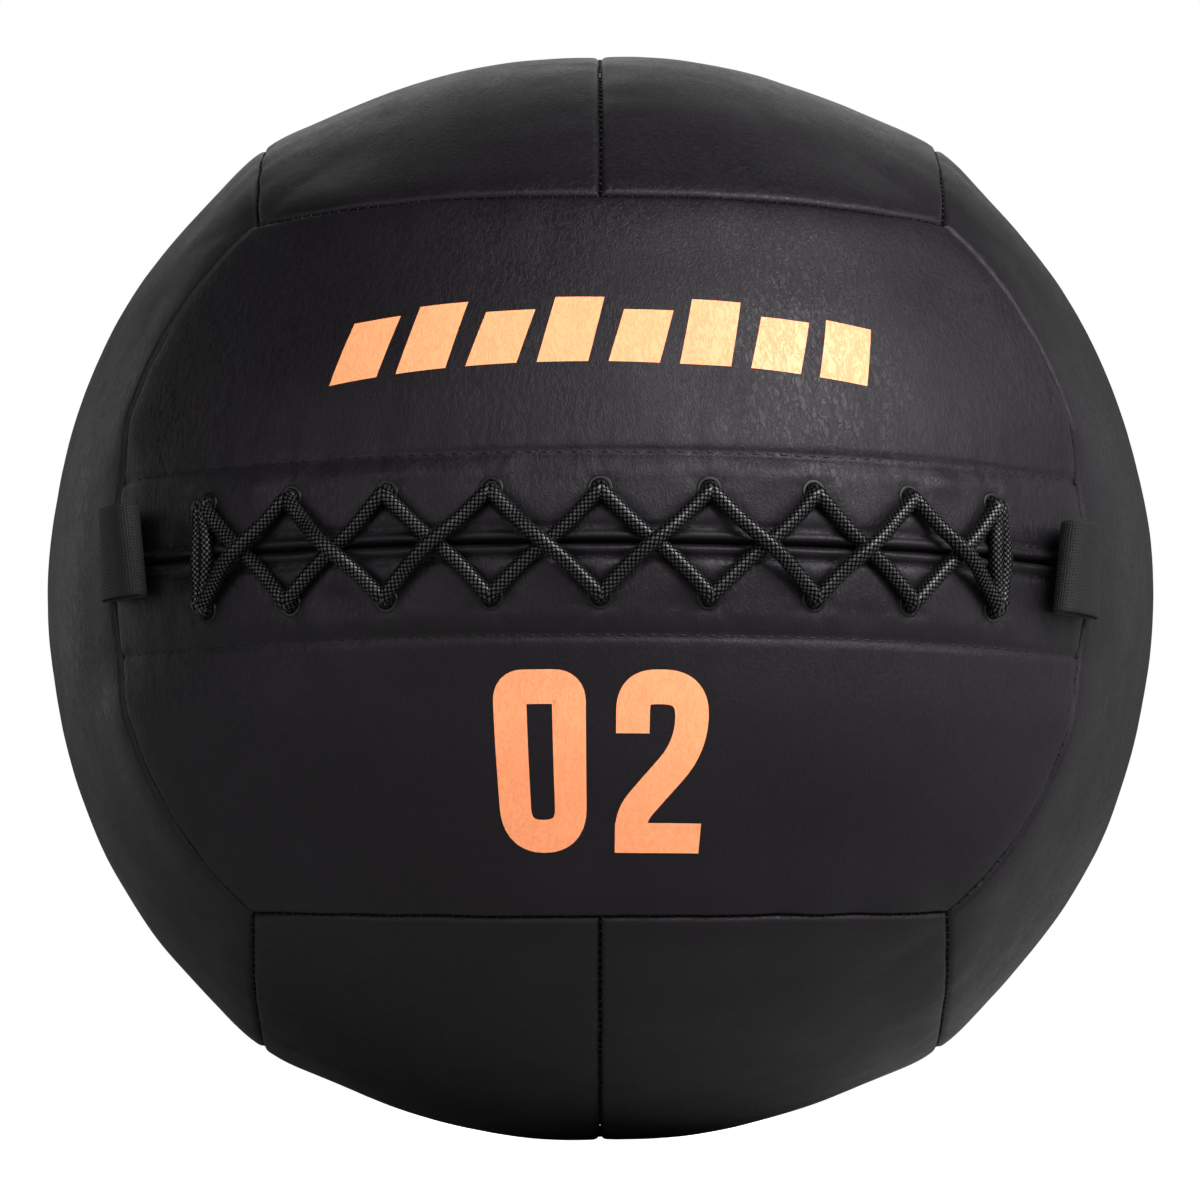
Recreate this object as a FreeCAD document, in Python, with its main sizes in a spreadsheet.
"""Laced soft medicine ball, as a parametric FreeCAD document.

Frame: millimetres, +Z up.  The origin is the centre of the flat patch on which the soft ball
rests.  The laced slit faces -Y and runs along X, and +X is on the right of someone facing it.

The cover is twelve panels.  Six cube faces are blown out to a sphere and each is split in two.
Every face reaches past the cube's edges along its own "reach" axis, where its split line ends in
the middle of the next face's edge, so no three split lines ever meet.
"""
import FreeCAD, Part
import os
from math import acos, cos, degrees, radians, sin, sqrt

from FreeCAD import Placement, Rotation, Vector

# Driving dimensions, in millimetres and degrees.
SIZES = {
    "ball_radius": 175.0,
    "centre_height": 171.5,        # lower than the radius: the ball settles on a flat patch
    "cover_thickness": 1.8,
    "layer_clearance": 0.1,
    "slit_gap": 1.2,
    "front_seam_tilt": 5.4,        # tilt of the seam cones beside the laced slit
    "seam_tilt": -4.4,             # tilt of every other seam cone
    "facing_thickness": 1.2,
    "facing_half_width": 140.0,
    "band_half_height": 26.4,      # from the slit to the stitching of the facings
    "eyelet_count": 9,
    "eyelet_pitch_angle": 10.25,
    "eyelet_row_angle": 5.1,       # from the slit up or down to a row of eyelets
    "eyelet_bore_radius": 2.35,
    "eyelet_barrel_radius": 2.85,
    "eyelet_flange_radius": 3.7,
    "eyelet_flange_thickness": 0.75,
    "eyelet_rolled_edge": 0.45,    # radius of the flange's rolled outer and inner edges
    "eyelet_lip_radius": 3.6,
    "eyelet_lip_thickness": 0.45,
    "eyelet_hole_radius": 2.95,
    "eyelet_clearance": 0.05,      # under the flange, and between the lip and the washer
    "washer_radius": 4.4,
    "washer_thickness": 0.7,
    "washer_clearance": 0.35,      # between the facing and the washer
    "lace_radius": 1.9,
    "lace_exit_height": 3.0,       # strand middle above the cover where it leaves an eyelet
    "lace_under_height": 0.4,      # air under a strand in the middle of the slit
    "lace_crossing_gap": 0.1,      # air between two strands that cross
    "lace_inside_depth": 6.5,      # middle of the uprights between two eyelets inside
    "lace_turn_growth": 0.15,      # the cord bunches a little where it turns
    "lace_plug_shrink": 0.1,       # and is squeezed a little inside an eyelet
    "lace_bar_spread": 2.1,        # how far the two strands at each end stand from their middle
    "tongue_depth": 8.6,
    "tongue_thickness": 1.2,
    "tongue_end_margin": 4.0,      # the tongue is this much shorter than the facings at each end
    "tongue_side_margin": 1.5,     # and this much narrower than the window in the padding
    "padding_depth": 1.9,
    "padding_thickness": 7.9,
    "window_half_height": 28.5,    # room in the front padding for the lacing
    "liner_depth": 9.9,
    "liner_thickness": 0.8,
    "filling_depth": 10.8,
    "webbing_width": 27.0,
    "webbing_thickness": 1.5,
    "loop_length": 27.0,
    "loop_end_radius": 6.0,
    "loop_clearance": 0.5,
    "loop_rise_left": 3.5,         # the left loop's middle is this far above the slit
    "loop_rise_right": -1.5,       # and the right one's this far below it
    "loop_bulge_along": 0.42,      # where its outer side bulges, as a share of the length
    "loop_bulge_height": 1.78,     # and how high, in radii of the folded end
}

X, Y, Z = Vector(1, 0, 0), Vector(0, 1, 0), Vector(0, 0, 1)

# face: (outward direction, reach axis, axis across the split, names of the two halves)
FACES = {
    "front": (-Y, X, Z, ("front_lower", "front_upper")),
    "back": (Y, X, Z, ("back_lower", "back_upper")),
    "top": (Z, Y, X, ("top_left", "top_right")),
    "bottom": (-Z, Y, X, ("bottom_left", "bottom_right")),
    "left": (-X, Z, Y, ("left_front", "left_back")),
    "right": (X, Z, Y, ("right_front", "right_back")),
}

doc = FreeCAD.newDocument("medicine_ball")
sheet = doc.addObject("Spreadsheet::Sheet", "Sizes")
for row, (alias, value) in enumerate(SIZES.items(), start=1):
    sheet.set(f"A{row}", alias)
    sheet.set(f"B{row}", str(value))
    sheet.setAlias(f"B{row}", alias)
doc.recompute()


def size(alias):
    """The value of one driving dimension."""
    return float(sheet.get(alias))


CENTRE = Vector(0, 0, size("centre_height"))
REACH = 3 * size("ball_radius")    # larger than the ball in every direction
MERIDIAN = 27.0                    # degrees: keeps the spheres' own joint lines off every seam


def bind(obj, **expressions):
    """Bind each named property of obj to a formula over the sheet's cells."""
    for prop, formula in expressions.items():
        obj.setExpression(prop, formula)
    return obj


def label(obj, name):
    """Give a finished sub-part the name of its file."""
    obj.Label = name
    return obj


def boolean(kind, name, base, tool):
    """Part::Cut or Part::Fuse of two objects."""
    obj = doc.addObject(kind, name)
    obj.Base, obj.Tool = base, tool
    return obj


def common(name, *shapes):
    """What several objects have in common."""
    obj = doc.addObject("Part::MultiCommon", name)
    obj.Shapes = list(shapes)
    return obj


def feature(name, shape):
    """A sub-part whose shape the primitives can't give."""
    obj = doc.addObject("Part::Feature", name)
    obj.Shape = shape
    return obj


# ---------------------------------------------------------------- layers and boxes
def ball(name, depth):
    """The ball at a depth below its surface.  depth is a formula."""
    sphere = doc.addObject("Part::Sphere", name)
    bind(sphere, Radius=f"Sizes.ball_radius - ({depth})")
    sphere.Placement.Rotation = Rotation(Z, MERIDIAN)
    sphere.setExpression("Placement.Base.z", "Sizes.centre_height")
    return sphere


def layer(name, depth, thickness):
    """A closed layer of the ball between two depths, both formulas."""
    outer = ball(name + "_outer", depth)
    inner = ball(name + "_inner", f"{depth} + {thickness}")
    return boolean("Part::Cut", name, outer, inner)


def block(name, low, high):
    """A box between two corners, measured from the ball's centre."""
    box = doc.addObject("Part::Box", name)
    box.Length, box.Width, box.Height = high.x - low.x, high.y - low.y, high.z - low.z
    box.Placement.Base = CENTRE + low
    return box


def half_space(name, direction, start=0.0):
    """Everything further than start from the ball's centre along one axis direction."""
    low, high = Vector(-REACH, -REACH, -REACH), Vector(REACH, REACH, REACH)
    for axis in "xyz":
        way = getattr(direction, axis)
        if way > 0:
            setattr(low, axis, start)
        if way < 0:
            setattr(high, axis, -start)
    return block(name, low, high)


# ---------------------------------------------------------------- places round the ball
def direction(longitude, latitude):
    """Unit vector from the centre: longitude 0 faces the slit, positive to the right."""
    lon, lat = radians(longitude), radians(latitude)
    return Vector(sin(lon) * cos(lat), -cos(lon) * cos(lat), sin(lat))


def eyelet_direction(index, row):
    """Direction of one eyelet, index from 0 at the left.  row is +1 above the slit, -1 below."""
    middle = (size("eyelet_count") - 1) / 2
    return direction((index - middle) * size("eyelet_pitch_angle"), row * size("eyelet_row_angle"))


EYELETS = range(int(size("eyelet_count")))


def radial_ring(way, outer, inner, low, high):
    """A ring round a direction from the centre, between two distances from the centre."""
    ring = Part.makeCylinder(outer, high - low, CENTRE + way * low, way)
    if inner:
        ring = ring.cut(Part.makeCylinder(inner, REACH, CENTRE, way))
    return ring


# ---------------------------------------------------------------- seams and panels
CORNER = 1 / sqrt(3)               # each coordinate of a cube corner on the unit sphere


def seam_cone(face):
    """Tilt and half angle of the cones through the seams at a face's two ends, in radians.

    The cone's tip is the ball's centre.  It passes through the two cube corners at that end and
    through the point between them where the split line ends.
    """
    tilt = radians(size("front_seam_tilt" if face == "front" else "seam_tilt"))
    return tilt, acos((sin(tilt) + cos(tilt)) / sqrt(3))


def split_end_angle(face):
    """Angle from the middle of a face to either end of its split line, in radians."""
    return sum(seam_cone(face))


def ball_arc(first, middle, last, radius):
    """The arc through three directions, at a distance from the centre."""
    return Part.Arc(first * radius, middle * radius, last * radius).toShape()


def panel_outline(face, far_face, radius):
    """Four arcs round a panel that faces -Y, with its split line along X and its body above it."""
    tilt, half_angle = seam_cone(face)
    far_angle = split_end_angle(far_face)
    corners, ends, turns = {}, {}, {}
    for side in (-1, 1):
        axis = Vector(side * sin(tilt), -cos(tilt), 0)
        corners[side] = Vector(side * CORNER, -CORNER, CORNER)
        ends[side] = Vector(side * sin(tilt + half_angle), -cos(tilt + half_angle), 0)
        to_corner = corners[side] - axis * cos(half_angle)
        to_end = ends[side] - axis * cos(half_angle)
        turns[side] = axis * cos(half_angle) + (to_corner + to_end).normalize() * sin(half_angle)
    far_middle = Vector(0, -sin(far_angle), cos(far_angle))
    return [ball_arc(ends[-1], turns[-1], corners[-1], radius),
            ball_arc(corners[-1], far_middle, corners[1], radius),
            ball_arc(corners[1], turns[1], ends[1], radius),
            ball_arc(ends[1], -Y, ends[-1], radius)]


def ball_face(edges, radius):
    """The part of a sphere inside four arcs."""
    sphere = Part.Sphere()
    sphere.Radius = radius
    face = Part.Face(sphere, Part.Wire(edges))
    face.validate()
    return face


def far_face_of(face, half):
    """The face across the far edge of one half of a face."""
    across = FACES[face][2] * half
    return next(other for other, (outward, _, _, _) in FACES.items() if outward == across)


def curved_panel(name, face, half, outer_radius, thickness):
    """A sheet of even thickness behind one half of a face.  half is -1 or +1 across its split."""
    outward, _, across, _ = FACES[face]
    inner_radius = outer_radius - thickness
    outer_edges = panel_outline(face, far_face_of(face, half), outer_radius)
    inner_edges = panel_outline(face, far_face_of(face, half), inner_radius)
    sides = [Part.makeRuledSurface(*pair) for pair in zip(outer_edges, inner_edges)]
    skin = Part.makeCompound([ball_face(outer_edges, outer_radius),
                              ball_face(inner_edges, inner_radius)] + sides)
    skin.sewShape()
    solid = Part.Solid(skin.Shells[0])
    if solid.Volume < 0:
        solid.reverse()
    piece = feature(name, solid)
    up = across * half
    piece.Placement = Placement(CENTRE, Rotation(up.cross(outward), -outward, up, "ZXY"))
    return piece


# ---------------------------------------------------------------- cover
def sign_name(sign):
    return "high" if sign > 0 else "low"


def eyelet_drill(row):
    """The holes of one row of eyelets through the cover and its facing."""
    low = size("ball_radius") - size("padding_thickness")
    holes = [radial_ring(eyelet_direction(i, row), size("eyelet_hole_radius"), 0, low, REACH)
             for i in EYELETS]
    return feature(f"drill_{sign_name(row)}", Part.makeCompound(holes))


drills = {row: eyelet_drill(row) for row in (-1, 1)}


def settle(name, piece, half):
    """Cut a bottom panel off at the ground and close it with its half of the flat patch."""
    cut = common(name + "_settled", piece, half_space(name + "_ground", Z, -CENTRE.z))
    patch = doc.addObject("Part::Cylinder", name + "_patch")
    inner = "(Sizes.ball_radius - Sizes.cover_thickness)"
    inner_height = "(Sizes.centre_height - Sizes.cover_thickness)"
    bind(patch, Radius=f"sqrt({inner}^2 - {inner_height}^2) + Sizes.layer_clearance / 2",
         Height="Sizes.cover_thickness", Angle="180")
    patch.Placement = Placement(Vector(), Rotation(Z, -90 * half))
    return boolean("Part::Fuse", name + "_closed", cut, patch)


def cover_panel(face, half):
    """One panel of the cover."""
    name = FACES[face][3][half > 0] + "_panel"
    piece = curved_panel(name + "_sheet", face, half, size("ball_radius"), size("cover_thickness"))
    if face == "front":
        above = half_space(name + "_half", Z * half, size("slit_gap") / 2)
        piece = common(name + "_edge", piece, above)
        piece = boolean("Part::Cut", name + "_drilled", piece, drills[half])
    if face == "bottom":
        piece = settle(name, piece, half)
    return label(piece, name)


def foam_pad(face, half):
    """The foam behind one panel, left away behind the lacing and squashed under the ball."""
    name = FACES[face][3][half > 0] + "_padding"
    piece = curved_panel(name + "_sheet", face, half, size("ball_radius") - size("padding_depth"),
                         size("padding_thickness"))
    if face == "front":
        clear = half_space(name + "_half", Z * half, size("window_half_height"))
        piece = common(name + "_cut", piece, clear)
    if face == "bottom":
        ground = half_space(name + "_ground", Z, size("padding_depth") - CENTRE.z)
        piece = common(name + "_cut", piece, ground)
    return label(piece, name)


panels = [cover_panel(face, half) for face in FACES for half in (-1, 1)]
pads = [foam_pad(face, half) for face in FACES for half in (-1, 1)]


# ---------------------------------------------------------------- lacing
def facing(name, row):
    """The strip sewn behind a front panel beside the slit, which carries the eyelets."""
    strip = layer(name + "_layer", "Sizes.cover_thickness + Sizes.layer_clearance",
                  "Sizes.facing_thickness")
    half_width = size("facing_half_width")
    near, far = size("slit_gap") / 2, size("band_half_height")
    low, high = (near, far) if row > 0 else (-far, -near)
    band = block(name + "_band", Vector(-half_width, -REACH, low), Vector(half_width, 0, high))
    plain = common(name + "_plain", strip, band)
    return label(boolean("Part::Cut", name + "_drilled", plain, drills[row]), name)


facings = [facing("upper_facing", 1), facing("lower_facing", -1)]


def rolled_flange(way, bore, low, high):
    """The flange of an eyelet: a ring whose two outward edges are rolled over."""
    ring = radial_ring(way, size("eyelet_flange_radius"), bore, low, high)
    face = max(ring.Faces, key=lambda f: (f.CenterOfMass - CENTRE).dot(way))
    return ring.makeFillet(size("eyelet_rolled_edge"), face.Edges)


def eyelet_row(name, row):
    """One row of rolled metal eyelets: flange outside, barrel, and lip behind the washer."""
    clearance = size("eyelet_clearance")
    surface = size("ball_radius") + clearance
    top = surface + size("eyelet_flange_thickness")
    washer_front = (surface - size("cover_thickness") - size("facing_thickness")
                    - size("washer_clearance"))
    washer_back = washer_front - size("washer_thickness")
    lip_front = washer_back - clearance
    lip_back = lip_front - size("eyelet_lip_thickness")
    bore = size("eyelet_bore_radius")
    eyelets, washers = [], []
    for i in EYELETS:
        way = eyelet_direction(i, row)
        flange = rolled_flange(way, bore, surface, top)
        barrel = radial_ring(way, size("eyelet_barrel_radius"), bore, lip_back, surface)
        lip = radial_ring(way, size("eyelet_lip_radius"), bore, lip_back, lip_front)
        eyelets.append(flange.fuse([barrel, lip]).removeSplitter())
        washers.append(radial_ring(way, size("washer_radius"), size("eyelet_hole_radius"),
                                   washer_back, washer_front))
    return [label(feature(name + "_eyelet_row", Part.makeCompound(eyelets)), name + "_eyelets"),
            label(feature(name + "_washer_row", Part.makeCompound(washers)),
                  name + "_eyelet_washers")]


eyelet_rows = eyelet_row("upper", 1) + eyelet_row("lower", -1)


def strand(start, middle, end, radius):
    """A round strand along the arc through three points."""
    path = Part.Wire([Part.Arc(start, middle, end).toShape()])
    tangent = path.Edges[0].tangentAt(path.Edges[0].FirstParameter)
    section = Part.Wire([Part.makeCircle(radius, start, tangent)])
    return path.makePipeShell([section], True, False)


def lace_solid():
    """The whole cord: crossed strands outside, uprights inside, and two bars at each end."""
    radius, surface = size("lace_radius"), size("ball_radius")
    outside = surface + size("lace_exit_height")
    under = surface + size("lace_under_height") + radius
    over = under + 2 * radius + size("lace_crossing_gap")
    inside = surface - size("lace_inside_depth")
    turn_radius = radius + size("lace_turn_growth")
    plug_radius = radius - size("lace_plug_shrink")
    last = EYELETS[-1]

    def at(i, row, distance):
        return CENTRE + eyelet_direction(i, row) * distance

    def run(first, second, distance, end_distance, shift=Vector()):
        middle = (eyelet_direction(*first) + eyelet_direction(*second)).normalize()
        return strand(at(*first, end_distance), CENTRE + middle * distance + shift,
                      at(*second, end_distance), radius)

    pieces = []
    for i in EYELETS:
        pieces.append(run((i, 1), (i, -1), inside, inside))
        for row in (-1, 1):
            pieces.append(radial_ring(eyelet_direction(i, row), plug_radius, 0, inside, outside))
            pieces.append(Part.makeSphere(turn_radius, at(i, row, inside)))
            pieces.append(Part.makeSphere(turn_radius, at(i, row, outside)))
    for i in EYELETS[:-1]:
        pieces.append(run((i, 1), (i + 1, -1), under, outside))
        pieces.append(run((i, -1), (i + 1, 1), over, outside))
    for i in (0, last):
        sideways = direction((i - last / 2) * size("eyelet_pitch_angle") + 90, 0)
        for shift in (-1, 1):
            offset = sideways * (shift * size("lace_bar_spread"))
            pieces.append(run((i, 1), (i, -1), outside, outside, offset))
    cord = pieces[0]
    for piece in pieces[1:]:
        cord = cord.fuse(piece)
    return cord


lace = label(feature("lace_cord", lace_solid()), "lace")

tongue_half_width = size("facing_half_width") - size("tongue_end_margin")
tongue_half_height = size("window_half_height") - size("tongue_side_margin")
tongue = label(
    common("tongue_strip",
           layer("tongue_layer", "Sizes.tongue_depth", "Sizes.tongue_thickness"),
           block("tongue_band", Vector(-tongue_half_width, -REACH, -tongue_half_height),
                 Vector(tongue_half_width, 0, tongue_half_height))),
    "lacing_tongue")


# ---------------------------------------------------------------- inside the cover
liner = layer("liner_layer", "Sizes.liner_depth", "Sizes.liner_thickness")
liners = []
for face in ("front", "back"):
    half = half_space(face + "_liner_half", FACES[face][0], size("layer_clearance"))
    liners.append(label(common(face + "_liner_shell", liner, half), "liner_bag_" + face))

filling = label(ball("filling_ball", "Sizes.filling_depth"), "textile_filling")


# ---------------------------------------------------------------- webbing loops
def folded_strap_outline():
    """A folded strap seen from above: x along the cover, y away from it, hinge line near 0."""
    length, end, low = size("loop_length"), size("loop_end_radius"), size("loop_clearance")
    doubled = 2 * size("webbing_thickness")
    root_low, root_top = Vector(0, low, 0), Vector(0, low + doubled, 0)
    root_turn = Vector(-doubled / 2, low + doubled / 2, 0)
    fold_low = Vector(length - end, low, 0)
    fold = Vector(length, low + end, 0)
    fold_top = Vector(length - end, low + 2 * end, 0)
    bulge = Vector(size("loop_bulge_along") * length, low + size("loop_bulge_height") * end, 0)
    return Part.Wire([
        Part.makeLine(root_low, fold_low),
        Part.Arc(fold_low, fold, fold_top).toShape(),
        Part.Arc(fold_top, bulge, root_top).toShape(),
        Part.Arc(root_top, root_turn, root_low).toShape(),
    ])


def webbing_loop(name, side, rise):
    """A strap folded in two and sewn into a side seam, lying over the front panels."""
    outline = Part.Face(folded_strap_outline())
    offset = outline.makeOffset2D(-size("webbing_thickness"))
    opening = max(offset.Faces, key=lambda face: face.Area)
    strap = outline.cut(opening).extrude(Z * size("webbing_width"))
    if side < 0:
        strap = strap.mirror(Vector(), X)
    longitude = side * degrees(split_end_angle("front"))
    foot = CENTRE + direction(longitude, 0) * size("ball_radius")
    foot.z += rise - size("webbing_width") / 2
    loop = feature(name + "_strap", strap)
    loop.Placement = Placement(foot, Rotation(Z, 180 + longitude))
    return label(loop, name)


loops = [webbing_loop("webbing_loop_left", -1, size("loop_rise_left")),
         webbing_loop("webbing_loop_right", 1, size("loop_rise_right"))]

# ---------------------------------------------------------------- check and write
SUB_PARTS = panels + facings + eyelet_rows + [lace, tongue] + pads + liners + [filling] + loops

doc.recompute()
for obj in doc.Objects:
    if {"Invalid", "Error"} & set(obj.State):
        raise RuntimeError(f"{obj.Label} did not compute: {obj.State}")
for obj in SUB_PARTS:
    if obj.Shape.isNull() or not obj.Shape.isValid() or not obj.Shape.Solids:
        raise RuntimeError(f"{obj.Label} is not a valid solid")

os.makedirs("parts", exist_ok=True)
for obj in SUB_PARTS:
    obj.Shape.exportStep(os.path.join("parts", obj.Label + ".step"))
